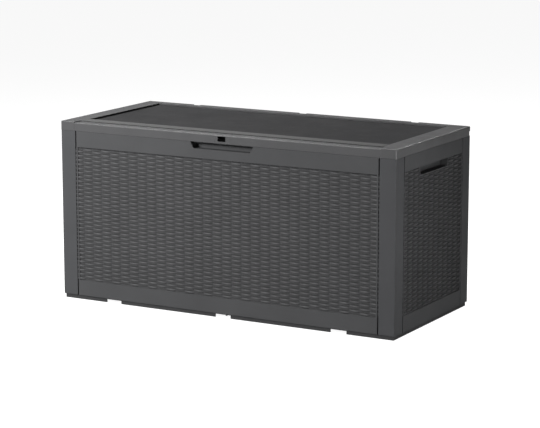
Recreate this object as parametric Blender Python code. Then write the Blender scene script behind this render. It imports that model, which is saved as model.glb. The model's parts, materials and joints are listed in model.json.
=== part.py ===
"""Deck storage box: tray floor, slide-in walls, four hollow posts and a hinged lid on two stays.

Metres, +Z up. The origin is the middle of the footprint, on the ground. +X runs along the width,
and -Y is the front. Run it in Blender: it empties the scene and builds one named object for each
piece of the box.
"""

import math

import bmesh
import bpy
from mathutils import Matrix, Vector

# ---- overall size ---------------------------------------------------------------------
WIDTH = 1.200
DEPTH = 0.535
HEIGHT = 0.583
FIT = 0.0003  # gap between pieces that rest on each other
RUNNING = 0.0003  # radial clearance of a shaft in its bore
ROUND_STEPS = 3  # facets across a rounded edge
OVERLAP = 0.001  # how far one shape runs into the next before a union, and past a face before a cut

# ---- base tray ------------------------------------------------------------------------
BASE_INSET = 0.005  # the tray's skirt stands this far inside the walls
BASE_STEP = 0.0132  # the walls rest at this height
FLOOR_TOP = 0.030
FLOOR_WALL = 0.003
BASE_RIB = 0.0025
BASE_RIB_LIFT = 0.002  # the ribs stop this far above the ground
BASE_RIB_PITCH = 0.115
DRAIN_SPREAD = 0.408  # from the middle notch to each outer one
DRAIN_WIDTH = 0.055
DRAIN_HEIGHT = 0.0105

# ---- posts and wall panels ------------------------------------------------------------
POST_FACE = 0.0545  # how far a post reaches along each wall
GROOVE = 0.004  # shadow gap between a post and a panel
WALL_DEPTH = 0.022  # depth of posts and panel flanges
POST_WALL = 0.0035
POST_ROUND = 0.0035
SLOT_DEPTH = 0.010
SLOT_SETBACK = 0.008
TONGUE = 0.0034
TONGUE_DROP = 0.0125  # the tongues stop this far below the top of the walls
PANEL_SKIN = 0.0055
PANEL_WALL = 0.003
PANEL_RIB = 0.0025
PANEL_RIB_DEPTH = 0.014
PANEL_RIB_PITCH = 0.155
WEAVE_RECESS = 0.003
WEAVE_MARGIN = 0.005
WEAVE_LOW = 0.064
FRONT_BAND = 0.081  # from the lid's top down to the woven field
SIDE_BAND = 0.0765
LIP_SETBACK = 0.008
LIP = 0.003
LIP_HEIGHT = 0.015
BACK_TOP = 0.027  # from the lid's top down to the back panel

# ---- finger pocket, lock and hand-holds -----------------------------------------------
POCKET_TOP = 0.226
POCKET_BOTTOM = 0.202
POCKET_FLOOR = 0.051  # from the lid's top
POCKET_DEPTH = 0.025
LOCK_WIDTH = 0.028
LOCK_PLATE = 0.024  # half width of the plate between the two front rails
LOCK_LOW = 0.023  # from the lid's top down to the window's sill
LOCK_HIGH = 0.007
LOCK_BAR = 0.0055  # height of the locking bar above the wall
LOCK_CHEEK = 0.008  # the lock chamber is this much wider than its window on each side
HOLD_TOP = 0.206
HOLD_BOTTOM = 0.190
HOLD_HEIGHT = 0.025

# ---- lid ------------------------------------------------------------------------------
SKIRT = 0.0295  # from the lid's top down to the skirt's edge
SEAT = 0.0005
RAIL_WALL = 0.0035
RAIL_ROUND = 0.0025
CURB = 0.003  # inner wall of a rail
SIDE_RAIL = 0.0605
SIDE_RAIL_FRONT = 0.051  # a side rail's width at the front edge, where its mitre starts
LEDGE = 0.033
LEDGE_DROP = 0.003
PAN_LIP = 0.008  # the pan reaches this far under the ledge
BORDER = 0.0775  # from the front edge to the sunken field
REAR_RAIL = 0.040
FIELD_DROP = 0.006
FIELD_SKIN = 0.003
FIELD_RIB = 0.0025
FIELD_RIB_DEPTH = 0.008
FIELD_RIB_PITCH = 0.177
FIELD_RIB_SPREAD = 0.100
SEAM = 0.0004
REAR_SKIRT = 0.016  # the rear skirt is short, to clear the hinges
REAR_RELIEF = 0.007

# ---- hinges ---------------------------------------------------------------------------
HINGE_SPREAD = 0.408
HINGE_DROP = 0.0195  # from the lid's top to the axis
KNUCKLE = 0.005  # the knuckles lie flush with the back face
KNUCKLE_HALF = 0.0125
KNUCKLE_MIDDLE = 0.005
KNUCKLE_GAP = 0.0005
LEAF = 0.0025
PIN = 0.002
PIN_HEAD = 0.0034
PIN_HEAD_LENGTH = 0.001
HINGE_NOTCH = 0.029
HINGE_NOTCH_DEPTH = 0.014
BASE_LEAF_REACH = 0.0165
LID_LEAF_REACH = 0.030
BASE_SCREW_REACH = 0.0115
LID_SCREW_REACH = 0.020
HINGE_SCREW_SPREAD = 0.0075

# ---- lid stays ------------------------------------------------------------------------
LID_ANGLE = math.radians(95.0)
STAY_RADIUS = 0.200  # lid pivot and body stud are equally far from the hinge axis
STAY_LID_ANGLE = math.radians(4.3)  # both angles are measured down from the horizontal, with the lid shut
STAY_BODY_ANGLE = math.radians(34.3)
STAY_CLEAR = 0.012  # from the side wall's inner face to the middle of the arm
STAY_THICK = 0.0025
STAY_WIDTH = 0.014
STAY_END = 0.012
STUD = 0.0027
STUD_HEAD = 0.0055
STUD_HEAD_LENGTH = 0.0025
STUD_ROOM = 0.0015
BOSS = 0.009
BOSS_PROUD = 0.002  # the boss stands this far in from the panel's flanges
BOSS_BORE = 0.012
BRACKET = 0.0025
BRACKET_HALF = 0.012
BRACKET_FOOT = 0.020
BRACKET_ROOM = 0.0035

# ---- screws ---------------------------------------------------------------------------
SCREW = 0.0016
SCREW_HOLE = 0.002
SCREW_HEAD = 0.0027
SCREW_HEAD_LENGTH = 0.0016
SCREW_LENGTH = 0.0075

# ---- places worked out from the sizes -------------------------------------------------
HALF_W = WIDTH / 2
HALF_D = DEPTH / 2
SKIRT_Z = HEIGHT - SKIRT
WALL_TOP = SKIRT_Z - SEAT
WALL_LOW = BASE_STEP + FIT
BACK_TOP_Z = HEIGHT - BACK_TOP
LIP_TOP = WALL_TOP + LIP_HEIGHT
FIELD_Z = HEIGHT - FIELD_DROP
FIELD_UNDER = FIELD_Z - FIELD_SKIN
POCKET_Z = HEIGHT - POCKET_FLOOR
HINGE_Y = HALF_D - KNUCKLE
HINGE_Z = HEIGHT - HINGE_DROP
FRONT_HALF = HALF_W - POST_FACE - GROOVE
SIDE_HALF = HALF_D - POST_FACE - GROOVE
SIDE_RAIL_X = HALF_W - SIDE_RAIL
BORDER_Y = BORDER - HALF_D
LEDGE_Y = LEDGE - HALF_D
LID_SCREW_Y = HINGE_Y - LID_SCREW_REACH
BASE_SCREW_Y = HINGE_Y - BASE_SCREW_REACH
BOSS_DEPTH = WALL_DEPTH + BOSS_PROUD
STAY_SETBACK = WALL_DEPTH + STAY_CLEAR
HINGE = Vector((0.0, HINGE_Y, HINGE_Z))
STAY_LID = HINGE - STAY_RADIUS * Vector((0.0, math.cos(STAY_LID_ANGLE), math.sin(STAY_LID_ANGLE)))
STAY_BODY = HINGE - STAY_RADIUS * Vector((0.0, math.cos(STAY_BODY_ANGLE), math.sin(STAY_BODY_ANGLE)))
STAY_SHUT = (STAY_BODY - STAY_LID).length
STAY_OPEN = 2 * STAY_RADIUS * math.sin((STAY_BODY_ANGLE - STAY_LID_ANGLE + LID_ANGLE) / 2)

# ---- finishes: colour, roughness, metallic --------------------------------------------
FINISHES = {
    "wall_resin": ((0.105, 0.105, 0.112, 1.0), 0.48, 0.0),
    "post_resin": ((0.112, 0.112, 0.120, 1.0), 0.45, 0.0),
    "lid_resin": ((0.098, 0.098, 0.104, 1.0), 0.50, 0.0),
    "rail_resin": ((0.125, 0.125, 0.130, 1.0), 0.42, 0.0),
    "base_resin": ((0.060, 0.060, 0.064, 1.0), 0.60, 0.0),
    "hinge_resin": ((0.045, 0.045, 0.048, 1.0), 0.45, 0.0),
    "stay_steel": ((0.550, 0.560, 0.570, 1.0), 0.35, 1.0),
    "screw_steel": ((0.480, 0.480, 0.500, 1.0), 0.30, 1.0),
}


# ---- shapes ---------------------------------------------------------------------------
def clear_scene():
    for ob in list(bpy.data.objects):
        bpy.data.objects.remove(ob)


def shape(bm):
    """Turns a bmesh into an object in the scene, with its faces pointing out."""
    bmesh.ops.recalc_face_normals(bm, faces=bm.faces)
    mesh = bpy.data.meshes.new("shape")
    bm.to_mesh(mesh)
    bm.free()
    ob = bpy.data.objects.new("shape", mesh)
    bpy.context.scene.collection.objects.link(ob)
    return ob


def along(axis, u, v, w):
    """A point whose w lies along the axis, and whose u and v are the other two axes in X, Y, Z order."""
    return {"X": (w, u, v), "Y": (u, w, v), "Z": (u, v, w)}[axis]


def prism(outline, axis, low, high):
    """Extrudes an outline of (u, v) points along an axis."""
    bm = bmesh.new()
    ends = [[bm.verts.new(along(axis, u, v, w)) for u, v in outline] for w in (low, high)]
    bm.faces.new(ends[0])
    bm.faces.new(ends[1])
    for i in range(len(outline)):
        j = (i + 1) % len(outline)
        bm.faces.new((ends[0][i], ends[0][j], ends[1][j], ends[1][i]))
    return shape(bm)


def block(x, y, z):
    """A box between the low and high values of x, y and z."""
    outline = [(x[0], y[0]), (x[1], y[0]), (x[1], y[1]), (x[0], y[1])]
    return prism(outline, "Z", z[0], z[1])


def rod(axis, centre, radius, low, high, sides=24):
    """A round bar along an axis, through a centre given as its (u, v)."""
    turns = [2 * math.pi * i / sides for i in range(sides)]
    outline = [(centre[0] + radius * math.cos(t), centre[1] + radius * math.sin(t)) for t in turns]
    return prism(outline, axis, low, high)


def capsule(start, end, radius, low, high, steps=10):
    """A bar along X with round ends, between two (y, z) centres."""
    heading = math.atan2(end[1] - start[1], end[0] - start[0])
    outline = []
    for centre, first in ((end, heading - math.pi / 2), (start, heading + math.pi / 2)):
        for i in range(steps + 1):
            t = first + math.pi * i / steps
            outline.append((centre[0] + radius * math.cos(t), centre[1] + radius * math.sin(t)))
    return prism(outline, "X", low, high)


def combine(base, operation, tools):
    """Joins tools to base, or cuts them from it, and removes them."""
    group = bpy.data.collections.new("tools")
    for tool in tools:
        group.objects.link(tool)
    step = base.modifiers.new(operation, "BOOLEAN")
    step.operation = operation
    step.operand_type = "COLLECTION"
    step.collection = group
    bpy.context.scene.collection.children.link(group)
    seen = base.evaluated_get(bpy.context.evaluated_depsgraph_get())
    result = bpy.data.meshes.new_from_object(seen)
    base.modifiers.clear()
    base.data = result
    for tool in tools:
        bpy.data.objects.remove(tool)
    bpy.data.collections.remove(group)
    return base


def join(base, *tools):
    return combine(base, "UNION", tools)


def cut(base, *tools):
    return combine(base, "DIFFERENCE", tools)


def move(ob, turn, offset):
    """Turns a shape about Z by whole quarters and then shifts it."""
    ob.data.transform(Matrix.Translation(offset) @ Matrix.Rotation(turn * math.pi / 2, 4, "Z"))
    return ob


def round_edges(ob, radius, chosen):
    """Rounds the edges for which chosen(start, end) is true."""
    bm = bmesh.new()
    bm.from_mesh(ob.data)
    edges = [e for e in bm.edges if chosen(e.verts[0].co, e.verts[1].co)]
    settings = {"segments": ROUND_STEPS, "profile": 0.5, "affect": "EDGES", "clamp_overlap": True}
    bmesh.ops.bevel(bm, geom=edges, offset=radius, **settings)
    bm.to_mesh(ob.data)
    bm.free()
    return ob


def finish(ob, name, look, parent=None, origin=None):
    """Names a piece, gives it its finish, and puts its origin on its pivot."""
    ob.name = name
    ob.data.name = name
    if origin is not None:
        ob.data.transform(Matrix.Translation(-origin))
        ob.location = origin
    ob.data.materials.clear()
    ob.data.materials.append(material(name, look))
    if parent is not None:
        ob.parent = parent
        ob.matrix_parent_inverse = Matrix.Translation(-parent.location)
    ob.data.shade_smooth()
    ob.data.set_sharp_from_angle(angle=math.radians(30))
    return ob


def material(name, look):
    colour, roughness, metallic = FINISHES[look]
    made = bpy.data.materials.new(name + "_" + look)
    made.use_nodes = True
    shader = made.node_tree.nodes["Principled BSDF"]
    shader.inputs["Base Color"].default_value = colour
    shader.inputs["Roughness"].default_value = roughness
    shader.inputs["Metallic"].default_value = metallic
    made.diffuse_color = colour
    return made


def spread(length, pitch):
    """Evenly spaced places for ribs inside a length, centred on zero."""
    count = max(1, round(length / pitch) - 1)
    step = length / (count + 1)
    return [step * (i + 1) - length / 2 for i in range(count)]


# ---- base tray ------------------------------------------------------------------------
def base_tray():
    skirt = (HALF_W - BASE_INSET, HALF_D - BASE_INSET)
    deck = (HALF_W - WALL_DEPTH - FIT, HALF_D - WALL_DEPTH - FIT)
    tray = block((-skirt[0], skirt[0]), (-skirt[1], skirt[1]), (0.0, BASE_STEP))
    join(tray, block((-deck[0], deck[0]), (-deck[1], deck[1]), (BASE_STEP - OVERLAP, FLOOR_TOP)))
    inner = [side - FLOOR_WALL for side in skirt]
    under = [side - FLOOR_WALL for side in deck]
    cut(
        tray,
        block((-inner[0], inner[0]), (-inner[1], inner[1]), (-OVERLAP, BASE_STEP - FLOOR_WALL)),
        block((-under[0], under[0]), (-under[1], under[1]), (-OVERLAP, FLOOR_TOP - FLOOR_WALL)),
    )
    height = (BASE_RIB_LIFT, FLOOR_TOP - FLOOR_WALL / 2)
    ribs = [
        block((x - BASE_RIB / 2, x + BASE_RIB / 2), (-under[1] - OVERLAP, under[1] + OVERLAP), height)
        for x in spread(WIDTH, BASE_RIB_PITCH)
    ]
    ribs += [
        block((-under[0] - OVERLAP, under[0] + OVERLAP), (y - BASE_RIB / 2, y + BASE_RIB / 2), height)
        for y in spread(DEPTH, BASE_RIB_PITCH)
    ]
    join(tray, *ribs)
    drains = []
    for x in (-DRAIN_SPREAD, 0.0, DRAIN_SPREAD):
        for side in (-1, 1):
            y = sorted((side * (inner[1] - OVERLAP), side * (skirt[1] + OVERLAP)))
            drains.append(block((x - DRAIN_WIDTH / 2, x + DRAIN_WIDTH / 2), y, (-OVERLAP, DRAIN_HEIGHT)))
    cut(tray, *drains)
    return finish(tray, "base_tray", "base_resin")


# ---- posts ----------------------------------------------------------------------------
def corner_outline(low, high, thick, radius=0.0):
    """An L whose two arms run from low to high along X and Y, with its outer corner rounded."""
    centre = low + radius
    turns = [math.pi * (1 + i / 8) for i in range(5)]
    corner = [(low, low)]
    if radius:
        corner = [(centre + radius * math.cos(t), centre + radius * math.sin(t)) for t in turns]
    inner = low + thick
    return corner + [(high, low), (high, inner), (inner, inner), (inner, high), (low, high)]


def post_shape(along_x):
    """A hollow post for the front left corner, its corner at zero; along_x adds the lip's front arm."""
    post = prism(corner_outline(0.0, POST_FACE, WALL_DEPTH, POST_ROUND), "Z", WALL_LOW, WALL_TOP)
    blind = POST_FACE - SLOT_DEPTH - POST_WALL
    hollow = corner_outline(POST_WALL, blind, WALL_DEPTH - 2 * POST_WALL)
    slot = (SLOT_SETBACK - FIT, SLOT_SETBACK + TONGUE + FIT)
    reach = (POST_FACE - SLOT_DEPTH, POST_FACE + OVERLAP)
    rise = (WALL_LOW - OVERLAP, WALL_TOP - TONGUE_DROP + FIT)
    cut(
        post,
        prism(hollow, "Z", WALL_LOW - OVERLAP, WALL_TOP - POST_WALL),
        block(reach, slot, rise),
        block(slot, reach, rise),
    )
    lip = (LIP_SETBACK, LIP_SETBACK + LIP)
    height = (WALL_TOP - OVERLAP, LIP_TOP)
    if along_x:
        return join(post, prism(corner_outline(LIP_SETBACK, POST_FACE, LIP), "Z", *height))
    return join(post, block((LIP_SETBACK + WALL_DEPTH, POST_FACE), lip, height))


def posts():
    corners = (
        ("front_left_post", 0, (-HALF_W, -HALF_D, 0.0)),
        ("front_right_post", 1, (HALF_W, -HALF_D, 0.0)),
        ("rear_right_post", 2, (HALF_W, HALF_D, 0.0)),
        ("rear_left_post", 3, (-HALF_W, HALF_D, 0.0)),
    )
    for name, turn, corner in corners:
        post = post_shape(name.startswith("front"))
        if name == "rear_right_post":
            post.data.transform(Matrix(((0, 1, 0, 0), (1, 0, 0, 0), (0, 0, 1, 0), (0, 0, 0, 1))))
            post.data.flip_normals()
        finish(move(post, turn, corner), name, "post_resin")


# ---- wall panels ----------------------------------------------------------------------
def frame_walls(half, top):
    """The flanges round a panel's edge, behind its skin."""
    deep = (PANEL_SKIN - OVERLAP, WALL_DEPTH)
    return [
        block((-half, half), deep, (WALL_LOW, WALL_LOW + PANEL_WALL)),
        block((-half, half), deep, (top - PANEL_WALL, top)),
        block((-half, -half + PANEL_WALL), deep, (WALL_LOW, top)),
        block((half - PANEL_WALL, half), deep, (WALL_LOW, top)),
    ]


def tongues(half):
    """The two upright tongues that slide into the posts' slots."""
    reach = half + GROOVE + SLOT_DEPTH - RUNNING
    depth = (SLOT_SETBACK, SLOT_SETBACK + TONGUE)
    height = (WALL_LOW, WALL_TOP - TONGUE_DROP)
    return [
        block((-reach, -half + OVERLAP), depth, height),
        block((half - OVERLAP, reach), depth, height),
    ]


def panel(half, top, band):
    """A ribbed panel with a sunken field for the weave; its outer face is y = 0 and its middle is x = 0."""
    made = block((-half, half), (0.0, PANEL_SKIN), (WALL_LOW, top))
    rib = ((PANEL_SKIN - OVERLAP, PANEL_RIB_DEPTH), (WALL_LOW, top - OVERLAP))
    ribs = [block((x - PANEL_RIB / 2, x + PANEL_RIB / 2), *rib) for x in spread(2 * half, PANEL_RIB_PITCH)]
    join(made, *frame_walls(half, top), *tongues(half), *ribs)
    field = half - WEAVE_MARGIN
    return cut(made, block((-field, field), (-OVERLAP, WEAVE_RECESS), (WEAVE_LOW, HEIGHT - band)))


def trapezoid(top, bottom, low, high, grow=0.0, above=OVERLAP):
    """An outline wider at its top than at its floor, grown by a wall and run on upright above."""
    outline = [(-bottom / 2 - grow, low - grow), (bottom / 2 + grow, low - grow), (top / 2 + grow, high)]
    if above > 0.0:
        outline += [(top / 2 + grow, high + above), (-top / 2 - grow, high + above)]
    return outline + [(-top / 2 - grow, high)]


def front_panel():
    """The front wall; the pocket cup hangs behind the mouth in its top band."""
    made = panel(FRONT_HALF, WALL_TOP, FRONT_BAND)
    mouth = prism(trapezoid(POCKET_TOP, POCKET_BOTTOM, POCKET_Z, WALL_TOP), "Y", -OVERLAP, WALL_DEPTH)
    room = trapezoid(POCKET_TOP, POCKET_BOTTOM, POCKET_Z, WALL_TOP, PANEL_WALL + FIT)
    cut(made, mouth, prism(room, "Y", PANEL_SKIN, WALL_DEPTH + OVERLAP))
    lip = (LIP_SETBACK, LIP_SETBACK + LIP)
    height = (WALL_TOP - PANEL_WALL, LIP_TOP)
    inner = POCKET_TOP / 2 + PANEL_WALL + FIT
    join(made, block((-FRONT_HALF, -inner), lip, height), block((inner, FRONT_HALF), lip, height))
    return finish(move(made, 0, (0.0, -HALF_D, 0.0)), "front_panel", "wall_resin")


def pocket_cup():
    """The finger pocket behind the front panel, with the locking bar and lock chamber above it."""
    outer = trapezoid(POCKET_TOP, POCKET_BOTTOM, POCKET_Z, WALL_TOP, PANEL_WALL, 0.0)
    mouth = trapezoid(POCKET_TOP, POCKET_BOTTOM, POCKET_Z, WALL_TOP)
    cup = prism(outer, "Y", PANEL_SKIN + FIT, POCKET_DEPTH + PANEL_WALL)
    cut(cup, prism(mouth, "Y", -OVERLAP, POCKET_DEPTH))
    half = POCKET_TOP / 2
    cheek = LOCK_WIDTH / 2 + LOCK_CHEEK
    lip = (LIP_SETBACK, LIP_SETBACK + LIP)
    chamber = (LIP_SETBACK + LIP - OVERLAP, POCKET_DEPTH + PANEL_WALL)
    height = (WALL_TOP - PANEL_WALL, LIP_TOP)
    join(cup, block((-half, half), lip, height), block((-cheek, cheek), chamber, height))
    inside = cheek - PANEL_WALL
    above = LIP_TOP + OVERLAP
    half_lock = LOCK_WIDTH / 2
    cut(
        cup,
        block((-inside, inside), (LIP_SETBACK + LIP, POCKET_DEPTH), (WALL_TOP - 2 * PANEL_WALL, above)),
        block((-half_lock, half_lock), (0.0, LIP_SETBACK + 2 * LIP), (WALL_TOP + LOCK_BAR, above)),
    )
    return finish(move(cup, 0, (0.0, -HALF_D, 0.0)), "pocket_cup", "wall_resin")


def back_panel():
    made = panel(FRONT_HALF, BACK_TOP_Z, FRONT_BAND)
    depth = HALF_D - BASE_SCREW_Y
    height = (BACK_TOP_Z - 2 * PANEL_WALL, BACK_TOP_Z + OVERLAP)
    holes = [
        rod("Z", (x + side * HINGE_SCREW_SPREAD, depth), SCREW_HOLE, *height)
        for x in (-HINGE_SPREAD, 0.0, HINGE_SPREAD)
        for side in (-1, 1)
    ]
    cut(made, *holes)
    return finish(move(made, 2, (0.0, HALF_D, 0.0)), "back_panel", "wall_resin")


def side_panel(name, side):
    """A side wall with a hand-hold pocket and the boss for a stay; side is +1 for the right."""
    made = panel(SIDE_HALF, WALL_TOP, SIDE_BAND)
    high = HEIGHT - SIDE_BAND
    low = high - HOLD_HEIGHT
    outer = trapezoid(HOLD_TOP, HOLD_BOTTOM, low, high, PANEL_WALL, PANEL_WALL)
    stud = (side * STAY_BODY.y, STAY_BODY.z)
    join(
        made,
        prism(outer, "Y", WEAVE_RECESS + OVERLAP, POCKET_DEPTH + PANEL_WALL),
        rod("Y", stud, BOSS, WEAVE_RECESS + OVERLAP, BOSS_DEPTH),
        block((-SIDE_HALF, SIDE_HALF), (LIP_SETBACK, LIP_SETBACK + LIP), (WALL_TOP - PANEL_WALL, LIP_TOP)),
    )
    cut(
        made,
        prism(trapezoid(HOLD_TOP, HOLD_BOTTOM, low, high, 0.0, 0.0), "Y", -OVERLAP, POCKET_DEPTH),
        rod("Y", stud, STUD + RUNNING, BOSS_DEPTH - BOSS_BORE, BOSS_DEPTH + OVERLAP),
    )
    return finish(move(made, side, (side * HALF_W, 0.0, 0.0)), name, "wall_resin")


# ---- lid ------------------------------------------------------------------------------
def lid_panel(hinge):
    """The pan of the lid: sunken field, raised front border, ribs below, and its edges under the rails."""
    under_rail = HALF_W - RAIL_WALL - OVERLAP
    rear = HALF_D - HINGE_NOTCH_DEPTH - 2 * OVERLAP
    pan = block((-under_rail, under_rail), (LEDGE_Y - PAN_LIP, rear), (FIELD_UNDER, FIELD_Z))
    near = mitre_x(LEDGE_Y + SEAM) - SEAM
    far = mitre_x(BORDER_Y) - SEAM
    border = [(-near, LEDGE_Y + SEAM), (near, LEDGE_Y + SEAM), (far, BORDER_Y), (-far, BORDER_Y)]
    join(pan, prism(border, "Z", FIELD_Z - OVERLAP, HEIGHT), *field_ribs())
    inside = far - CURB
    hollow = (FIELD_UNDER - OVERLAP, HEIGHT - RAIL_WALL)
    trough = block((-inside, inside), (LEDGE_Y + SEAM + CURB, BORDER_Y - CURB), hollow)
    through = (FIELD_UNDER - OVERLAP, FIELD_Z + OVERLAP)
    holes = [
        rod("Z", (x + side * HINGE_SCREW_SPREAD, LID_SCREW_Y), SCREW_HOLE, *through)
        for x in (-HINGE_SPREAD, 0.0, HINGE_SPREAD)
        for side in (-1, 1)
    ]
    holes += [
        rod("Z", (side * foot_x(), STAY_LID.y + way * BRACKET_HALF / 2), SCREW_HOLE, *through)
        for side in (-1, 1)
        for way in (-1, 1)
    ]
    cut(pan, trough, *holes)
    return finish(pan, "lid_panel", "lid_resin", hinge)


def field_ribs():
    """The grid of ribs below the sunken field."""
    z = (FIELD_UNDER - FIELD_RIB_DEPTH, FIELD_UNDER + FIELD_SKIN / 2)
    half = FIELD_RIB / 2
    end = SIDE_RAIL_X - FIELD_RIB
    rear = HALF_D - REAR_RAIL - KNUCKLE
    ribs = [block((-end, end), (y - half, y + half), z) for y in (-FIELD_RIB_SPREAD, 0.0, FIELD_RIB_SPREAD)]
    ribs += [block((x - half, x + half), (BORDER_Y, rear), z) for x in spread(2 * end, FIELD_RIB_PITCH)]
    return ribs


def mitre_x(y):
    """Where the seam between a side rail and the front pieces lies, at a given y."""
    share = (y + HALF_D) / BORDER
    return HALF_W - SIDE_RAIL_FRONT - (SIDE_RAIL - SIDE_RAIL_FRONT) * share


def under_rail_cut(x, y):
    """Clears a rail below the height where it stands on the pan."""
    return block(x, y, (SKIRT_Z - OVERLAP, FIELD_Z + FIT))


def side_rail(name, side, hinge):
    """side is +1 for the right rail and -1 for the left."""
    front = mitre_x(-HALF_D)
    inner = SIDE_RAIL_X
    outline = [(front, -HALF_D), (HALF_W, -HALF_D), (HALF_W, HALF_D), (inner, HALF_D), (inner, BORDER_Y)]
    rail = prism([(side * x, y) for x, y in outline], "Z", SKIRT_Z, HEIGHT)
    rim = HALF_W - OVERLAP
    round_edges(rail, RAIL_ROUND, lambda a, b: outer_top(a, b, rim) or outer_corner(a, b, rim))
    far = HALF_W - RAIL_WALL
    near = HALF_D - RAIL_WALL
    curb = inner + CURB
    hollow = [(front + CURB, -near), (far, -near), (far, near), (curb, near), (curb, BORDER_Y)]
    x = sorted((side * (inner - OVERLAP), side * far))
    relief = sorted((side * (inner - OVERLAP), side * (HALF_W + OVERLAP)))
    cut(
        rail,
        prism([(side * x, y) for x, y in hollow], "Z", SKIRT_Z - OVERLAP, HEIGHT - RAIL_WALL),
        under_rail_cut(x, (-near, near)),
        block(relief, (HALF_D - REAR_RELIEF, HALF_D + OVERLAP), (SKIRT_Z - OVERLAP, HEIGHT - REAR_SKIRT)),
    )
    return finish(rail, name, "rail_resin", hinge)


def outer_top(a, b, rim):
    """True for an edge of the lid's outline, along its top."""
    along_side = abs(a.x) > rim and abs(b.x) > rim
    along_end = abs(a.y) > HALF_D - OVERLAP and abs(b.y) > HALF_D - OVERLAP and a.y * b.y > 0
    return min(a.z, b.z) > HEIGHT - LEDGE_DROP - OVERLAP and (along_side or along_end)


def outer_corner(a, b, rim):
    """True for an upright edge at one of the lid's four corners."""
    return abs(a.z - b.z) > OVERLAP and abs(a.x) > rim and abs(b.x) > rim


def front_rail(name, low, high, hinge):
    """The stretch of the front rail from low to high along X: a skirt, a ledge on the pan and a curb."""
    top = HEIGHT - LEDGE_DROP
    front = mitre_x(-HALF_D) - SEAM
    rear = mitre_x(LEDGE_Y) - SEAM
    outline = [(-front, -HALF_D), (front, -HALF_D), (rear, LEDGE_Y), (-rear, LEDGE_Y)]
    rail = prism(outline, "Z", SKIRT_Z, top)
    round_edges(rail, RAIL_ROUND, lambda a, b: outer_top(a, b, HALF_W))
    inside = rear - CURB
    near = -HALF_D + RAIL_WALL
    half_lock = LOCK_WIDTH / 2
    window = (HEIGHT - LOCK_LOW, HEIGHT - LOCK_HIGH)
    beyond = ((-HALF_D - OVERLAP, LEDGE_Y + OVERLAP), (SKIRT_Z - OVERLAP, HEIGHT))
    cut(
        rail,
        block((-inside, inside), (near, LEDGE_Y - CURB), (SKIRT_Z - OVERLAP, top - RAIL_WALL)),
        under_rail_cut((-front - OVERLAP, front + OVERLAP), (near, LEDGE_Y + OVERLAP)),
        block((-half_lock, half_lock), (-HALF_D - OVERLAP, near + OVERLAP), window),
        block((-HALF_W - OVERLAP, low), *beyond),
        block((high, HALF_W + OVERLAP), *beyond),
    )
    return finish(rail, name, "rail_resin", hinge)


def front_rails(hinge):
    """Two mouldings that meet at the lock plate, which holds the padlock window."""
    seam = LOCK_PLATE + FIT
    front_rail("lid_front_rail_left", -HALF_W, -seam, hinge)
    front_rail("lid_front_rail_right", seam, HALF_W, hinge)
    front_rail("lid_lock_plate", -LOCK_PLATE, LOCK_PLATE, hinge)


def rear_rail(hinge):
    """The rear rail, with a notch over each hinge and closed ends beside the notches."""
    half = SIDE_RAIL_X - SEAM
    front = HALF_D - REAR_RAIL
    rail = block((-half, half), (front, HALF_D), (HEIGHT - REAR_SKIRT, HEIGHT))
    round_edges(rail, RAIL_ROUND, lambda a, b: outer_top(a, b, HALF_W) and a.y > 0)
    notch_y = HALF_D - HINGE_NOTCH_DEPTH
    edges = [-half]
    notches = []
    for x in (-HINGE_SPREAD, 0.0, HINGE_SPREAD):
        notch = (x - HINGE_NOTCH / 2, x + HINGE_NOTCH / 2)
        edges += [notch[0], notch[1]]
        notches.append(block(notch, (notch_y, HALF_D + OVERLAP), (SKIRT_Z, HEIGHT + OVERLAP)))
    edges.append(half)
    height = (HEIGHT - REAR_SKIRT - OVERLAP, HEIGHT - RAIL_WALL)
    hollows = [
        block((edges[i] + CURB, edges[i + 1] - CURB), (front + CURB, HALF_D - RAIL_WALL), height)
        for i in range(0, len(edges), 2)
    ]
    hollows.append(block((-half + CURB, half - CURB), (front + CURB, notch_y - CURB), height))
    rest = under_rail_cut((-half - OVERLAP, half + OVERLAP), (front - OVERLAP, notch_y + OVERLAP))
    cut(rail, *notches, *hollows, rest)
    return finish(rail, "lid_rear_rail", "rail_resin", hinge)


# ---- hinges ---------------------------------------------------------------------------
def hinge_base(name, x):
    """The half of a hinge that is screwed to the back panel, with the middle knuckle."""
    low = BACK_TOP_Z + FIT
    clear = KNUCKLE + KNUCKLE_GAP + OVERLAP
    height = (low, low + LEAF)
    leaf = block((x - KNUCKLE_HALF, x + KNUCKLE_HALF), (HINGE_Y - BASE_LEAF_REACH, HINGE_Y - clear), height)
    neck = block((x - KNUCKLE_MIDDLE, x + KNUCKLE_MIDDLE), (HINGE_Y - clear - OVERLAP, HINGE_Y), height)
    web = block((x - KNUCKLE_MIDDLE, x + KNUCKLE_MIDDLE), (HINGE_Y - KNUCKLE, HINGE_Y), (low, HINGE_Z))
    knuckle = rod("X", (HINGE_Y, HINGE_Z), KNUCKLE, x - KNUCKLE_MIDDLE, x + KNUCKLE_MIDDLE)
    join(leaf, neck, web, knuckle)
    bore = rod("X", (HINGE_Y, HINGE_Z), PIN + RUNNING, x - HINGE_NOTCH, x + HINGE_NOTCH)
    bottom, top = low - OVERLAP, low + LEAF + OVERLAP
    holes = [
        rod("Z", (x + side * HINGE_SCREW_SPREAD, BASE_SCREW_Y), SCREW_HOLE, bottom, top)
        for side in (-1, 1)
    ]
    cut(leaf, bore, *holes)
    return finish(leaf, name, "hinge_resin")


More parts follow.
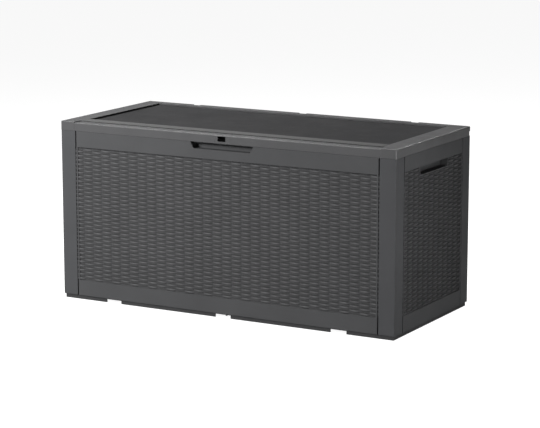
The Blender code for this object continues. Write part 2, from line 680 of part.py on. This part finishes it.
def hinge_leaf(name, x, hinge):
    """The half of a hinge that is screwed to the lid, with the two outer knuckles."""
    high = FIELD_UNDER - FIT
    low = high - LEAF
    clear = KNUCKLE + KNUCKLE_GAP + OVERLAP
    reach = (HINGE_Y - LID_LEAF_REACH, HINGE_Y - clear)
    leaf = block((x - KNUCKLE_HALF, x + KNUCKLE_HALF), reach, (low, high))
    for side in (-1, 1):
        ends = sorted((x + side * (KNUCKLE_MIDDLE + KNUCKLE_GAP), x + side * KNUCKLE_HALF))
        join(
            leaf,
            block(ends, (HINGE_Y - clear - OVERLAP, HINGE_Y), (low, high)),
            block(ends, (HINGE_Y - KNUCKLE, HINGE_Y), (HINGE_Z, high)),
            rod("X", (HINGE_Y, HINGE_Z), KNUCKLE, *ends),
        )
    bore = rod("X", (HINGE_Y, HINGE_Z), PIN + RUNNING, x - HINGE_NOTCH, x + HINGE_NOTCH)
    holes = [
        rod("Z", (x + side * HINGE_SCREW_SPREAD, LID_SCREW_Y), SCREW_HOLE, low - OVERLAP, high + OVERLAP)
        for side in (-1, 1)
    ]
    cut(leaf, bore, *holes)
    return finish(leaf, name, "hinge_resin", hinge)


def hinge_pin(name, x):
    end = KNUCKLE_HALF + FIT
    pin = rod("X", (HINGE_Y, HINGE_Z), PIN, x - end, x + end + OVERLAP)
    join(pin, rod("X", (HINGE_Y, HINGE_Z), PIN_HEAD, x + end, x + end + PIN_HEAD_LENGTH))
    return finish(pin, name, "screw_steel")


# ---- lid stays ------------------------------------------------------------------------
def arm_x(side):
    """The low and high x of a stay's arm."""
    middle = side * (HALF_W - STAY_SETBACK)
    return (middle - STAY_THICK / 2, middle + STAY_THICK / 2)


def inner_x(side, distance):
    """A place inboard of a stay's arm, measured from the arm's inner face."""
    return side * (HALF_W - STAY_SETBACK - STAY_THICK / 2 - distance)


def outer_x(side, distance):
    """A place outboard of a stay's arm, measured from the arm's outer face."""
    return side * (HALF_W - STAY_SETBACK + STAY_THICK / 2 + distance)


def foot_x():
    """The x of the screws through a stay bracket's foot, on the right."""
    return inner_x(1, BRACKET_ROOM + BRACKET_FOOT / 2)


def pivot_rod(centre, radius, near, far):
    return rod("X", (centre.y, centre.z), radius, *sorted((near, far)))


def stay_arm(name, side, hinge):
    """The slotted arm: its pivot is on the lid, and its slot runs over the stud on the side wall."""
    heading = (STAY_BODY - STAY_LID).normalized()
    start = (STAY_LID.y, STAY_LID.z)
    tip = STAY_LID + heading * (STAY_OPEN + STAY_END - STAY_WIDTH / 2)
    shut = STAY_LID + heading * STAY_SHUT
    opened = STAY_LID + heading * STAY_OPEN
    low, high = arm_x(side)
    arm = capsule(start, (tip.y, tip.z), STAY_WIDTH / 2, low, high)
    cut(
        arm,
        capsule((shut.y, shut.z), (opened.y, opened.z), STUD + RUNNING, low - OVERLAP, high + OVERLAP),
        rod("X", start, STUD + RUNNING, low - OVERLAP, high + OVERLAP),
    )
    pivot = Vector((side * (HALF_W - STAY_SETBACK), STAY_LID.y, STAY_LID.z))
    return finish(arm, name, "stay_steel", hinge, pivot)


def stay_stud(name, side):
    """The shouldered stud in the side wall's boss."""
    face = side * (HALF_W - BOSS_DEPTH - FIT)
    end = side * (HALF_W - BOSS_DEPTH + BOSS_BORE - OVERLAP)
    head = inner_x(side, STUD_ROOM)
    stud = pivot_rod(STAY_BODY, STUD, inner_x(side, STUD_ROOM + STUD_HEAD_LENGTH / 2), end)
    join(
        stud,
        pivot_rod(STAY_BODY, STUD_HEAD, head, inner_x(side, STUD_ROOM + STUD_HEAD_LENGTH)),
        pivot_rod(STAY_BODY, STUD_HEAD, face, outer_x(side, STUD_ROOM)),
    )
    return finish(stud, name, "stay_steel")


def stay_bracket(name, side, hinge):
    """The angle below the lid that carries the arm's pivot."""
    y = (STAY_LID.y - BRACKET_HALF, STAY_LID.y + BRACKET_HALF)
    top = FIELD_UNDER - FIT
    plate = sorted((inner_x(side, BRACKET_ROOM), inner_x(side, BRACKET_ROOM + BRACKET)))
    foot = sorted((inner_x(side, BRACKET_ROOM), inner_x(side, BRACKET_ROOM + BRACKET_FOOT)))
    bracket = block(plate, y, (STAY_LID.z - STAY_WIDTH / 2, top))
    join(bracket, block(foot, y, (top - BRACKET, top)))
    inner = inner_x(side, 2 * BRACKET_ROOM + BRACKET)
    bore = pivot_rod(STAY_LID, STUD + RUNNING, inner_x(side, 0.0), inner)
    bottom = top - 2 * BRACKET
    holes = [
        rod("Z", (side * foot_x(), STAY_LID.y + way * BRACKET_HALF / 2), SCREW_HOLE, bottom, top + OVERLAP)
        for way in (-1, 1)
    ]
    cut(bracket, bore, *holes)
    return finish(bracket, name, "stay_steel", hinge)


def stay_rivet(name, side, hinge):
    """The shouldered rivet that joins the arm to its bracket."""
    inner = BRACKET_ROOM + BRACKET + FIT
    rivet = pivot_rod(STAY_LID, STUD, inner_x(side, inner + OVERLAP), outer_x(side, 2 * OVERLAP))
    join(
        rivet,
        pivot_rod(STAY_LID, STUD_HEAD, inner_x(side, inner), inner_x(side, inner + 2 * OVERLAP)),
        pivot_rod(STAY_LID, STUD_HEAD, inner_x(side, FIT), inner_x(side, BRACKET_ROOM - FIT)),
        pivot_rod(STAY_LID, STUD_HEAD, outer_x(side, FIT), outer_x(side, 3 * OVERLAP)),
    )
    return finish(rivet, name, "stay_steel", hinge)


# ---- screws ---------------------------------------------------------------------------
def screw(name, x, y, seat, way, hinge=None):
    """A pan-head screw whose head sits on the height seat; way is +1 where its shank points up."""
    head = sorted((seat, seat - way * SCREW_HEAD_LENGTH))
    shank = sorted((seat - way * SCREW_HEAD_LENGTH / 2, seat + way * SCREW_LENGTH))
    made = rod("Z", (x, y), SCREW_HEAD, *head, sides=16)
    join(made, rod("Z", (x, y), SCREW, *shank, sides=12))
    return finish(made, name, "screw_steel", hinge)


def screws(hinge):
    base_seat = BACK_TOP_Z + FIT + LEAF + FIT
    lid_seat = FIELD_UNDER - FIT - LEAF - FIT
    for place, x in (("left", -HINGE_SPREAD), ("middle", 0.0), ("right", HINGE_SPREAD)):
        for number, side in ((1, -1), (2, 1)):
            along_x = x + side * HINGE_SCREW_SPREAD
            screw(f"{place}_hinge_base_screw_{number}", along_x, BASE_SCREW_Y, base_seat, -1)
            screw(f"{place}_hinge_leaf_screw_{number}", along_x, LID_SCREW_Y, lid_seat, 1, hinge)
    for place, side in (("left", -1), ("right", 1)):
        for number, way in ((1, -1), (2, 1)):
            y = STAY_LID.y + way * BRACKET_HALF / 2
            screw(f"{place}_stay_screw_{number}", side * foot_x(), y, lid_seat, 1, hinge)


# ---- the whole box --------------------------------------------------------------------
def build():
    clear_scene()
    hinge = bpy.data.objects.new("lid_axis", None)
    hinge.location = HINGE
    bpy.context.scene.collection.objects.link(hinge)
    base_tray()
    posts()
    front_panel()
    pocket_cup()
    back_panel()
    lid_panel(hinge)
    front_rails(hinge)
    rear_rail(hinge)
    for place, side in (("left", -1), ("right", 1)):
        side_panel(f"{place}_side_panel", side)
        side_rail(f"lid_{place}_rail", side, hinge)
        stay_arm(f"{place}_stay_arm", side, hinge)
        stay_stud(f"{place}_stay_stud", side)
        stay_bracket(f"{place}_stay_bracket", side, hinge)
        stay_rivet(f"{place}_stay_rivet", side, hinge)
    for place, x in (("left", -HINGE_SPREAD), ("middle", 0.0), ("right", HINGE_SPREAD)):
        hinge_base(f"{place}_hinge_base", x)
        hinge_leaf(f"{place}_hinge_leaf", x, hinge)
        hinge_pin(f"{place}_hinge_pin", x)
    screws(hinge)


build()
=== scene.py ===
import json
import math

import bmesh
import bpy
import numpy as np
from mathutils import Euler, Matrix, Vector


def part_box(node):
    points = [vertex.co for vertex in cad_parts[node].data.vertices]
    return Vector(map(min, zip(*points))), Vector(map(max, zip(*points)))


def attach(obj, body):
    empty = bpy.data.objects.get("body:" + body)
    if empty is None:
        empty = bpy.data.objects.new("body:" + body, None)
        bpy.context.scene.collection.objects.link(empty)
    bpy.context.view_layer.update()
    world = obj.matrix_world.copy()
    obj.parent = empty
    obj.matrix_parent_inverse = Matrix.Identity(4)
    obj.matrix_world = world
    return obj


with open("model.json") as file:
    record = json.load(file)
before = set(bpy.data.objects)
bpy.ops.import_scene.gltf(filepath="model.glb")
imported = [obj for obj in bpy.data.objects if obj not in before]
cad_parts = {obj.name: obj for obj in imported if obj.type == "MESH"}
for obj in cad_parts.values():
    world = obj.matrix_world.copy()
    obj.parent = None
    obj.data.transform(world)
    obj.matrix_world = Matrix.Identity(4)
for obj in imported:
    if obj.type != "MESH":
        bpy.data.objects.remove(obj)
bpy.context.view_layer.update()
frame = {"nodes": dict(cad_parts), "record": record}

# ---- the studio, in metres, degrees and watts ----
CAMERA_PLACE = (3.2968, -5.8470, 1.5842)
CAMERA_TURN = (79.07, 0.0, 29.25)
LENS = 141.5
SENSOR = 36.0
WORLD_LOW = 0.10
WORLD_HIGH = 1.1
BACKDROP = (-0.49, 0.87, 0.12)  # the world is brightest behind the box
BACKDROP_EDGE = 0.6  # cosine of the angle to BACKDROP at which the brightening starts
BACKDROP_CORE = 0.95  # and at which it is full
FLOOR_SIZE = 60.0
FLOOR_GREY = 0.12
FLOOR_GLOW = 0.93
FLOOR_ROUGH = 0.9
LIGHTS = (  # name, place, target, size, power, whether it lights matt surfaces
    ("key", (-1.77, -2.64, 1.7), (0.0, 0.0, 0.3), (1.1, 0.8), 390.0, True),
    ("fill", (1.17, -0.30, 0.48), (0.6, -0.2, 0.3), (0.25, 0.35), 5.2, True),
    ("top", (-1.3, 0.7, 3.0), (-0.1, 0.1, 0.5), (2.6, 2.0), 319.0, True),
    ("rim", (0.58, 2.6, 2.05), (0.6, 0.0, 0.58), (0.35, 0.35), 62.0, False),
    ("kicker", (2.4, -1.25, 0.45), (0.6, -0.27, 0.3), (0.4, 0.8), 400.0, False),
)

# ---- the woven relief ----
COLUMNS_LONG = 32
COLUMNS_SHORT = 12
STRANDS = 63
STRAND_PITCH = 0.00695
FIRST_STRAND = 0.0697  # height of the lowest strand's middle
WEAVE_INSET = 0.005  # from the panel's edge to the end of the relief
WEAVE_LOW = 0.0654
WEAVE_HIGH_LONG = 0.5003
WEAVE_HIGH_SHORT = 0.5048
RECESS = 0.003  # depth of the panel's plain field, which closes the gaps between strands
CREST = 0.0004  # depth of the highest strands under the band's face
JOINT_DEPTH = 0.0023  # where neighbouring columns meet
BACK_DEPTH = 0.0021  # depth of the strands between the crests
STRAND_HALF = 0.0046
STRAND_THICK = 0.0021
NECK = 0.62  # the share of its height that a strand keeps where it crosses
SWELL = 0.45  # below 1, the strands dive steeply at the joints
STEPS = (0.0, 0.05, 0.12, 0.27, 0.5, 0.73, 0.88, 0.95)  # shares of a column's width
SECTION = (  # across a strand: shares of STRAND_HALF up and of STRAND_THICK inwards
    (-1.0, 1.0),
    (-0.6, 0.48),
    (0.0, 0.14),
    (0.42, 0.0),
    (0.72, 0.26),
    (1.0, 1.0),
)

# ---- hand-hold rims ----
HOLD_LOW = 0.4815
HOLD_HIGH = 0.5065
HOLD_HALF_LOW = 0.095
HOLD_HALF_HIGH = 0.103
RIM = 0.0030
RIM_DEPTH = 0.0003  # depth of the lip's face under the band's face
RIM_SINK = 0.0003  # how far the lip is let into the panel's field
RIM_TOP = 0.0002  # how far the lip runs up past the hand-hold
RIM_COVER = 0.6  # the share of the lip's width that the strands stop short of
RIM_EDGE = 0.0009

# ---- the lid ----
FIELD_Z = 0.577  # height of the sunken field
RAISED_FROM = FIELD_Z + 0.0006
RAISED_FULL = FIELD_Z + 0.0014

# ---- edges of the CAD nodes ----
WELD = 0.000002
FLAT_WITHIN = math.radians(0.3)
BEVEL_ABOVE = math.radians(38.0)
SMOOTH_BELOW = math.radians(50.0)
EDGE = {"lid_resin": 0.0008}  # by material slot
SMALL_EDGE = 0.0003  # for the other slots
BEVEL_STEPS = 3
NORMAL_WEIGHT = 80

# ---- colours and the scale of the grain ----
COOL = (1.0, 1.0, 1.03)
DUST = (0.14, 0.133, 0.126, 1.0)
ZINC = (1.0, 1.0, 1.01)
PIT = (1.0, 0.97, 0.92)
GRAIN = 0.00005
GRAIN_SCALE = 1500.0


def srgb(grey, tint=(1.0, 1.0, 1.0)):
    return tuple(grey * t for t in tint) + (1.0,)


def set_range(node, low, high, to_low, to_high):
    node.inputs["From Min"].default_value = low
    node.inputs["From Max"].default_value = high
    node.inputs["To Min"].default_value = to_low
    node.inputs["To Max"].default_value = to_high


# ---- material building ----

class Shader:
    """A Principled material and short calls for the nodes that feed it."""

    def __init__(self, name):
        self.material = bpy.data.materials.new(name)
        self.material.use_nodes = True
        self.tree = self.material.node_tree
        self.main = self.tree.nodes["Principled BSDF"]
        self.place = self.tree.nodes.new("ShaderNodeTexCoord").outputs["Object"]

    def add(self, kind, **settings):
        made = self.tree.nodes.new(kind)
        for key, value in settings.items():
            setattr(made, key, value)
        return made

    def link(self, output, socket):
        self.tree.links.new(output, socket)

    def feed(self, socket, value):
        """Links the socket to another node's output, or sets its number or colour."""
        if isinstance(value, bpy.types.NodeSocket):
            self.link(value, socket)
        else:
            socket.default_value = value

    def put(self, name, value):
        self.feed(self.main.inputs[name], value)

    def stretched(self, scale):
        mapping = self.add("ShaderNodeMapping")
        mapping.inputs["Scale"].default_value = scale
        self.link(self.place, mapping.inputs["Vector"])
        return mapping.outputs["Vector"]

    def noise(self, scale, detail=2.0, rough=0.5, vector=None, distortion=0.0):
        made = self.add("ShaderNodeTexNoise")
        made.inputs["Scale"].default_value = scale
        made.inputs["Detail"].default_value = detail
        made.inputs["Roughness"].default_value = rough
        made.inputs["Distortion"].default_value = distortion
        self.link(vector or self.place, made.inputs["Vector"])
        return made.outputs["Fac"]

    def cells(self, scale):
        made = self.add("ShaderNodeTexVoronoi", feature="F1")
        made.inputs["Scale"].default_value = scale
        self.link(self.place, made.inputs["Vector"])
        return made.outputs["Distance"]

    def spread(self, value, low, high, to_low, to_high):
        made = self.add("ShaderNodeMapRange", clamp=True)
        set_range(made, low, high, to_low, to_high)
        self.link(value, made.inputs["Value"])
        return made.outputs["Result"]

    def sum(self, first, second, operation="ADD"):
        made = self.add("ShaderNodeMath", operation=operation)
        self.feed(made.inputs[0], first)
        self.feed(made.inputs[1], second)
        return made.outputs["Value"]

    def mix(self, factor, first, second):
        made = self.add("ShaderNodeMix", data_type="RGBA")
        self.feed(made.inputs[0], factor)
        self.feed(made.inputs[6], first)
        self.feed(made.inputs[7], second)
        return made.outputs[2]

    def bump(self, height, distance, strength, under=None):
        made = self.add("ShaderNodeBump")
        made.inputs["Strength"].default_value = strength
        made.inputs["Distance"].default_value = distance
        self.link(height, made.inputs["Height"])
        if under is not None:
            self.link(under, made.inputs["Normal"])
        return made.outputs["Normal"]

    def upward(self, low, high):
        """0 on walls and 1 on faces that look up while the part is at rest."""
        normal = self.add("ShaderNodeTexCoord").outputs["Normal"]
        parts = self.add("ShaderNodeSeparateXYZ")
        self.link(normal, parts.inputs["Vector"])
        return self.spread(parts.outputs["Z"], low, high, 0.0, 1.0)


def resin(
    name, grey, rough, tint=COOL, grain=GRAIN, grain_scale=GRAIN_SCALE, dust=0.10, shine=0.018
):
    """Moulded resin: mottled colour, eroded grain, slight sink waves, dust and faint scuffs.

    Its colour, level (of roughness) and relief can still be changed before close() is called.
    """
    made = Shader(name)
    mottle = made.spread(made.noise(7.0, 4.0, 0.6), 0.3, 0.7, 0.0, 1.0)
    colour = made.mix(mottle, srgb(grey * 0.93, tint), srgb(grey * 1.07, tint))
    speck = made.spread(made.noise(620.0, 2.0, 0.7), 0.35, 0.65, 0.0, 1.0)
    colour = made.mix(made.sum(speck, 0.10, "MULTIPLY"), colour, srgb(grey * 1.7, tint))
    patches = made.spread(made.noise(11.0, 5.0, 0.65), 0.42, 0.72, 0.0, dust)
    dusty = made.sum(patches, made.upward(0.3, 0.95), "MULTIPLY")
    colour = made.mix(dusty, colour, DUST)
    scuff = made.noise(60.0, 3.0, 0.6, made.stretched((1.0, 1.0, 7.0)), 0.4)
    streak = made.spread(scuff, 0.56, 0.72, 0.0, 0.08)
    level = made.spread(made.noise(16.0, 3.0), 0.3, 0.7, rough - 0.04, rough + 0.04)
    level = made.sum(level, streak, "SUBTRACT")
    made.colour = colour
    made.level = made.sum(level, made.sum(dusty, 0.5, "MULTIPLY"))
    waves = made.bump(made.noise(9.0, 1.0), 0.0006, 0.4)
    coarse = made.bump(made.cells(grain_scale * 0.5), grain * 0.8, 0.5, waves)
    made.relief = made.bump(made.noise(grain_scale, 3.0, 0.65), grain, 1.0, coarse)
    made.put("Specular IOR Level", shine)
    return made


def close(made):
    """Connects a resin to its shader."""
    made.put("Base Color", made.colour)
    made.put("Roughness", made.level)
    made.put("Normal", made.relief)
    return made.material


def woven_resin(name, grey, rough):
    """The walls' resin, with painted highlight making the crests paler and painted shade making it
    darker down between the strands.
    """
    made = resin(name, grey, rough, dust=0.0)
    depth = made.add("ShaderNodeAttribute", attribute_name="cavity").outputs["Fac"]
    # painted highlight: the crests are coloured paler, as if lit
    painted_crest_highlight = made.spread(depth, 0.0, 0.16, 0.55, 0.0)
    made.colour = made.mix(painted_crest_highlight, made.colour, srgb(grey * 2.0))
    # painted shade: the resin is coloured darker the deeper it lies between the strands
    shade = made.spread(depth, 0.2, 1.0, 0.0, 0.62)
    made.colour = made.mix(shade, made.colour, srgb(grey * 0.25))
    return close(made)


def lid_resin(name, field, border, under, rough, smooth):
    """Matt and stippled in the sunken field, smooth on the raised border, plain underneath."""
    made = resin(name, field, rough, grain=0.00009, grain_scale=1100.0, dust=0.02, shine=0.004)
    upper = made.upward(0.3, 0.8)
    made.colour = made.mix(upper, srgb(under), made.colour)
    split = made.add("ShaderNodeSeparateXYZ")
    made.link(made.place, split.inputs["Vector"])
    raised = made.spread(split.outputs["Z"], RAISED_FROM, RAISED_FULL, 0.0, 1.0)
    raised = made.sum(raised, upper, "MULTIPLY")
    made.colour = made.mix(raised, made.colour, srgb(border))
    keep = made.sum(1.0, raised, "SUBTRACT")
    kept = made.sum(made.level, keep, "MULTIPLY")
    made.level = made.sum(kept, made.sum(raised, smooth, "MULTIPLY"))
    return close(made)


def steel(name, grey, rough, stretch):
    """Zinc plate: brushed streaks, dull bloom and small dark pits."""
    made = Shader(name)
    brushed = made.noise(900.0, 3.0, 0.6, made.stretched(stretch))
    bloom = made.spread(made.noise(45.0, 4.0, 0.6), 0.3, 0.7, 0.0, 1.0)
    colour = made.mix(bloom, srgb(grey * 0.85, ZINC), srgb(grey * 1.08, ZINC))
    pits = made.spread(made.noise(380.0, 2.0, 0.8), 0.66, 0.74, 0.0, 0.55)
    colour = made.mix(pits, colour, srgb(grey * 0.35, PIT))
    made.put("Base Color", colour)
    made.put("Metallic", 1.0)
    level = made.spread(brushed, 0.3, 0.7, rough - 0.07, rough + 0.08)
    made.put("Roughness", made.sum(level, made.sum(pits, 0.4, "MULTIPLY")))
    made.put("Normal", made.bump(brushed, 0.00003, 0.7))
    return made.material


def build_materials():
    return {
        "wall_resin": close(resin("wall_resin_look", 0.0254, 0.48, (0.99, 1.0, 1.03))),
        "post_resin": close(resin("post_resin_look", 0.0247, 0.47, (0.985, 1.0, 1.045))),
        "lid_resin": lid_resin("lid_resin_look", 0.0137, 0.041, 0.025, 0.62, 0.40),
        "rail_resin": close(resin("rail_resin_look", 0.0248, 0.42, dust=0.04, shine=0.08)),
        "base_resin": close(resin("base_resin_look", 0.018, 0.62, dust=0.05)),
        "hinge_resin": close(resin("hinge_resin_look", 0.012, 0.45, grain=0.00007, dust=0.05)),
        "stay_steel": steel("stay_steel_look", 0.15, 0.38, (0.06, 1.0, 1.0)),
        "screw_steel": steel("screw_steel_look", 0.13, 0.34, (1.0, 1.0, 0.15)),
        "weave": woven_resin("woven_resin_look", 0.0295, 0.44),
        # painted shade: the same woven resin coloured darker for the side walls, for the deeper
        # shadow in their relief
        "side_weave_painted_shade": woven_resin("side_woven_resin_painted_shade_look", 0.0225, 0.46),
    }


# ---- CAD nodes: better materials, and their edges broken ----

def smoothing():
    """Smooth shading across every edge that turns by less than SMOOTH_BELOW."""
    group = bpy.data.node_groups.new("smoothing", "GeometryNodeTree")
    for way in ("INPUT", "OUTPUT"):
        group.interface.new_socket("Geometry", in_out=way, socket_type="NodeSocketGeometry")
    start = group.nodes.new("NodeGroupInput")
    end = group.nodes.new("NodeGroupOutput")
    angle = group.nodes.new("GeometryNodeInputMeshEdgeAngle")
    gentle = group.nodes.new("FunctionNodeCompare")
    gentle.operation = "LESS_THAN"
    gentle.inputs["B"].default_value = SMOOTH_BELOW
    group.links.new(angle.outputs["Unsigned Angle"], gentle.inputs["A"])
    faces = group.nodes.new("GeometryNodeSetShadeSmooth")
    faces.domain = "FACE"
    edges = group.nodes.new("GeometryNodeSetShadeSmooth")
    edges.domain = "EDGE"
    group.links.new(start.outputs[0], faces.inputs["Geometry"])
    group.links.new(faces.outputs["Geometry"], edges.inputs["Geometry"])
    group.links.new(gentle.outputs["Result"], edges.inputs["Shade Smooth"])
    group.links.new(edges.outputs["Geometry"], end.inputs[0])
    return group


def dress_nodes(looks):
    group = smoothing()
    for part in frame["record"]["subparts"]:
        node = frame["nodes"][part["node"]]
        slot = part["material_slot"]
        node.data.materials.clear()
        node.data.materials.append(looks[slot])
        weld = node.modifiers.new("weld", "WELD")
        weld.merge_threshold = WELD
        flat = node.modifiers.new("flat", "DECIMATE")
        flat.decimate_type = "DISSOLVE"
        flat.angle_limit = FLAT_WITHIN
        bevel = node.modifiers.new("edges", "BEVEL")
        bevel.width = EDGE.get(slot, SMALL_EDGE)
        bevel.segments = BEVEL_STEPS
        bevel.limit_method = "ANGLE"
        bevel.angle_limit = BEVEL_ABOVE
        smooth = node.modifiers.new("smooth", "NODES")
        smooth.node_group = group
        normals = node.modifiers.new("normals", "WEIGHTED_NORMAL")
        normals.weight = NORMAL_WEIGHT
        normals.keep_sharp = True


# ---- the woven walls ----

def wall_places():
    """Each wall: name, outward turn, distance of its face, half its relief's width, columns."""
    front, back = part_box("front_panel"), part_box("back_panel")
    left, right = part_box("left_side_panel"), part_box("right_side_panel")
    long_half = front[1].x - WEAVE_INSET
    short_half = right[1].y - WEAVE_INSET
    return (
        ("front", 0.0, -front[0].y, long_half, COLUMNS_LONG),
        ("right", 90.0, right[1].x, short_half, COLUMNS_SHORT),
        ("back", 180.0, back[1].y, long_half, COLUMNS_LONG),
        ("left", 270.0, -left[0].x, short_half, COLUMNS_SHORT),
    )


def to_world(points, turn, face):
    """Turns (along, depth under the face, height) on a wall into the frame's x, y, z."""
    points = np.asarray(points, float)
    angle = math.radians(turn)
    out = points[:, 1] - face
    x = points[:, 0] * math.cos(angle) - out * math.sin(angle)
    y = points[:, 0] * math.sin(angle) + out * math.cos(angle)
    return np.stack([x, y, points[:, 2]], 1)


def strand_runs(half, columns, row, height, hold):
    """The stretches of one strand as lists of (along, swell), swell +1 in front and -1 behind."""
    width = 2 * half / columns
    stations = []
    for column in range(columns):
        side = 1.0 if (column + row) % 2 == 0 else -1.0
        for step in STEPS:
            along = -half + (column + step) * width
            stations.append((along, side * math.sin(math.pi * step) ** SWELL))
    stations.append((half, 0.0))
    gap = 0.0
    if hold and HOLD_LOW - RIM - STRAND_HALF < height < HOLD_HIGH + RIM + STRAND_HALF:
        share = min(max((height - HOLD_LOW) / (HOLD_HIGH - HOLD_LOW), 0.0), 1.0)
        gap = HOLD_HALF_LOW + share * (HOLD_HALF_HIGH - HOLD_HALF_LOW) + RIM * RIM_COVER
    if gap == 0.0:
        return [stations]
    runs = [[s for s in stations if s[0] < -gap], [s for s in stations if s[0] > gap]]
    runs[0].append((-gap, runs[0][-1][1]))
    runs[1].insert(0, (gap, runs[1][0][1]))
    return runs


def strand_mesh(run, height, ceiling, points, faces, depths):
    """Adds one closed strand: a rounded bar, out in front of its crossings or down behind them."""
    start = len(points)
    for along, swell in run:
        share = NECK + (1.0 - NECK) * abs(swell)
        half = STRAND_HALF * share
        peak = CREST if swell > 0 else BACK_DEPTH
        front = JOINT_DEPTH - abs(swell) * (JOINT_DEPTH - peak)
        for rise, sink in SECTION:
            depth = front + STRAND_THICK * sink
            level = height + half * rise
            points.append((along, depth, min(max(level, WEAVE_LOW), ceiling)))
            depths.append(min(max((depth - CREST) / (RECESS - CREST), 0.0), 1.0))
    count = len(SECTION)
    for station in range(len(run) - 1):
        a = start + station * count
        b = a + count
        for i in range(count):
            j = (i + 1) % count
            faces.append((a + i, a + j, b + j, b + i))
    last = start + (len(run) - 1) * count
    faces.append(tuple(start + i for i in reversed(range(count))))
    faces.append(tuple(last + i for i in range(count)))


def woven_wall(name, turn, face, half, columns, look):
    """The relief of one wall, in the sunken field of its panel."""
    points, faces, depths = [], [], []
    hold = name in ("left", "right")
    ceiling = WEAVE_HIGH_SHORT if hold else WEAVE_HIGH_LONG
    for row in range(STRANDS):
        height = FIRST_STRAND + row * STRAND_PITCH
        for run in strand_runs(half, columns, row, height, hold):
            strand_mesh(run, height, ceiling, points, faces, depths)
    piece = add_piece(f"{name}_weave", to_world(points, turn, face).tolist(), faces, look)
    # the cavity layer holds each point's depth share, from which the woven resin paints highlight
    # on the crests and shade down between the strands
    layer = piece.data.attributes.new("cavity", "FLOAT", "POINT")
    layer.data.foreach_set("value", depths)
    return dress(piece, "body")


def add_piece(name, points, faces, look, smooth=True):
    mesh = bpy.data.meshes.new(name)
    mesh.from_pydata(points, [], faces)
    mesh.materials.append(look)
    work = bmesh.new()
    work.from_mesh(mesh)
    bmesh.ops.recalc_face_normals(work, faces=work.faces)
    work.to_mesh(mesh)
    work.free()
    mesh.polygons.foreach_set("use_smooth", [smooth] * len(mesh.polygons))
    piece = bpy.data.objects.new(name, mesh)
    bpy.context.scene.collection.objects.link(piece)
    return piece


def dress(piece, body):
    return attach(piece, body)


def hold_rim(name, turn, face, look):
    """The raised lip round a hand-hold's sides and lower edge."""
    low, high = HOLD_LOW, HOLD_HIGH + RIM_TOP
    inner = [
        (-HOLD_HALF_HIGH, high),
        (-HOLD_HALF_LOW, low),
        (HOLD_HALF_LOW, low),
        (HOLD_HALF_HIGH, high),
    ]
    outer = [
        (-HOLD_HALF_HIGH - RIM, high),
        (-HOLD_HALF_LOW - RIM, low - RIM),
        (HOLD_HALF_LOW + RIM, low - RIM),
        (HOLD_HALF_HIGH + RIM, high),
    ]
    points = []
    for depth in (RIM_DEPTH, RECESS + RIM_SINK):
        points += [(u, depth, z) for u, z in inner + outer]
    faces = []
    for i in range(3):
        faces.append((i, i + 1, i + 5, i + 4))
        faces.append((i + 8, i + 12, i + 13, i + 9))
        faces.append((i, i + 8, i + 9, i + 1))
        faces.append((i + 4, i + 5, i + 13, i + 12))
    faces.append((0, 4, 12, 8))
    faces.append((3, 11, 15, 7))
    piece = add_piece(name, to_world(points, turn, face).tolist(), faces, look)
    bevel = piece.modifiers.new("edges", "BEVEL")
    bevel.width = RIM_EDGE
    bevel.segments = BEVEL_STEPS
    bevel.limit_method = "ANGLE"
    piece.modifiers.new("normals", "WEIGHTED_NORMAL")
    return dress(piece, "body")


# ---- studio ----

def add_camera():
    data = bpy.data.cameras.new("camera")
    data.lens = LENS
    data.sensor_width = SENSOR
    data.clip_end = 100.0
    camera = bpy.data.objects.new("camera", data)
    camera.location = CAMERA_PLACE
    camera.rotation_euler = Euler([math.radians(a) for a in CAMERA_TURN])
    bpy.context.scene.collection.objects.link(camera)
    bpy.context.scene.camera = camera


def add_light(name, place, target, size, power, diffuse):
    data = bpy.data.lights.new(name, "AREA")
    data.shape = "RECTANGLE"
    data.size, data.size_y = size
    data.energy = power
    light = bpy.data.objects.new(name, data)
    light.visible_camera = False
    light.visible_diffuse = diffuse
    light.location = place
    light.rotation_euler = (Vector(target) - Vector(place)).to_track_quat("-Z", "Y").to_euler()
    bpy.context.scene.collection.objects.link(light)


def add_studio():
    world = bpy.data.worlds.new("studio")
    world.use_nodes = True
    tree = world.node_tree
    place = tree.nodes.new("ShaderNodeTexCoord").outputs["Generated"]
    toward = tree.nodes.new("ShaderNodeVectorMath")
    toward.operation = "DOT_PRODUCT"
    toward.inputs[1].default_value = Vector(BACKDROP).normalized()
    tree.links.new(place, toward.inputs[0])
    level = tree.nodes.new("ShaderNodeMapRange")
    level.interpolation_type = "SMOOTHSTEP"
    set_range(level, BACKDROP_EDGE, BACKDROP_CORE, WORLD_LOW, WORLD_HIGH)
    tree.links.new(toward.outputs["Value"], level.inputs["Value"])
    tree.links.new(level.outputs["Result"], tree.nodes["Background"].inputs["Strength"])
    bpy.context.scene.world = world
    bpy.context.scene.view_settings.view_transform = "Standard"
    half = FLOOR_SIZE / 2
    corners = [(-half, -half, 0.0), (half, -half, 0.0), (half, half, 0.0), (-half, half, 0.0)]
    look = Shader("floor_look")
    look.put("Base Color", srgb(FLOOR_GREY))
    look.put("Roughness", FLOOR_ROUGH)
    look.put("Emission Color", srgb(1.0))
    look.put("Emission Strength", FLOOR_GLOW)
    add_piece("floor", corners, [(0, 1, 2, 3)], look.material, False)
    for light in LIGHTS:
        add_light(*light)


def main():
    add_camera()
    add_studio()
    looks = build_materials()
    dress_nodes(looks)
    for name, turn, face, half, columns in wall_places():
        short = name in ("left", "right")
        # the side walls take the darker copy of the woven resin, as painted shade
        woven_wall(name, turn, face, half, columns, looks["side_weave_painted_shade" if short else "weave"])
        if short:
            hold_rim(f"{name}_hold_rim", turn, face, looks["wall_resin"])


main()
